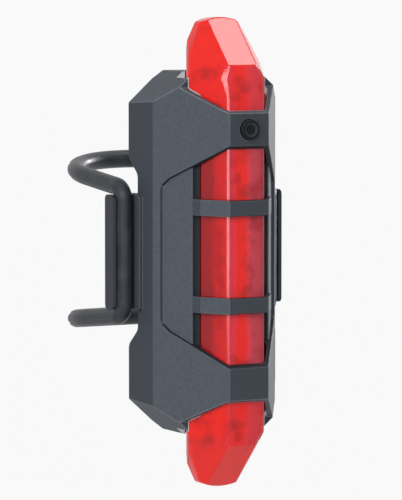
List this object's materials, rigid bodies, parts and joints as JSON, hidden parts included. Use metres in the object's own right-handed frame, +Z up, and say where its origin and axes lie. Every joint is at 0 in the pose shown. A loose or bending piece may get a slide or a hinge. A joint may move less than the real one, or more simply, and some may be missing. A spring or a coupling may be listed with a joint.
{
  "type": "bicycle tail light",
  "caption": "Slim rechargeable bicycle tail light: a faceted red lens in a black caged housing, held to a round seat post by a rubber ring stretched over two side hooks.",
  "frame": {"origin": "on the seat post's axis, at the light's mid height", "axes": "+Z up along the post, the light faces -Y, +X is to the right seen from behind the bicycle"},
  "size_m": [0.0314, 0.0469, 0.076],
  "materials": {
    "cage_plastic": "fine satin",
    "case_plastic": "satin",
    "red_lens": "polished",
    "clear_prism": "polished",
    "ring_rubber": "smooth matt",
    "pad_rubber": "matt",
    "seal_silicone": "matt",
    "button_plastic": "satin",
    "screw_steel": "satin",
    "socket_steel": "satin",
    "tongue_plastic": "matt",
    "board_green": "solder mask",
    "lamp_resin": "gloss",
    "reflector_chrome": "vacuum metallised",
    "cell_foil": "foil",
    "foam": "open foam",
    "lead_red": "satin",
    "lead_black": "satin",
    "pin_brass": "plated",
    "chip_plastic": "matt",
    "resistor_ceramic": "matt"
  },
  "bodies": {
    "housing": {"front_cage": "cage_plastic", "lens": "red_lens", "rear_case": "case_plastic", "saddle_pad": "pad_rubber", "case_seal": "seal_silicone", "case_screws": "screw_steel", "mounting_ring": "ring_rubber", "button_seal": "seal_silicone", "switch_body": "socket_steel", "circuit_board": "board_green", "leds": "lamp_resin", "reflector": "reflector_chrome", "prism_plate": "clear_prism", "battery_foam": "foam", "battery_cell": "cell_foil", "protection_board": "board_green", "battery_lead_red": "lead_red", "battery_lead_black": "lead_black", "charge_board": "board_green", "usb_socket": "socket_steel", "usb_tongue": "tongue_plastic", "header_pins": "pin_brass", "charger_chip": "chip_plastic", "controller_chip": "chip_plastic", "chip_resistors": "resistor_ceramic"},
    "button": {"power_button": "button_plastic", "switch_plunger": "tongue_plastic"},
    "cover": {"port_cover": "pad_rubber"}
  },
  "joints": [
    {"name": "button_press", "type": "slide", "parent": "housing", "child": "button", "axis": [0, 1, 0], "range_m": [0, 0.00035], "stiffness_N_per_m": 300, "springref_m": -0.003},
    {"name": "cover_hinge", "type": "hinge", "parent": "housing", "child": "cover", "pos_m": [0.01095, -0.0162, -0.0216], "axis": [0, 1, 0], "range_deg": [0, 95]}
  ]
}
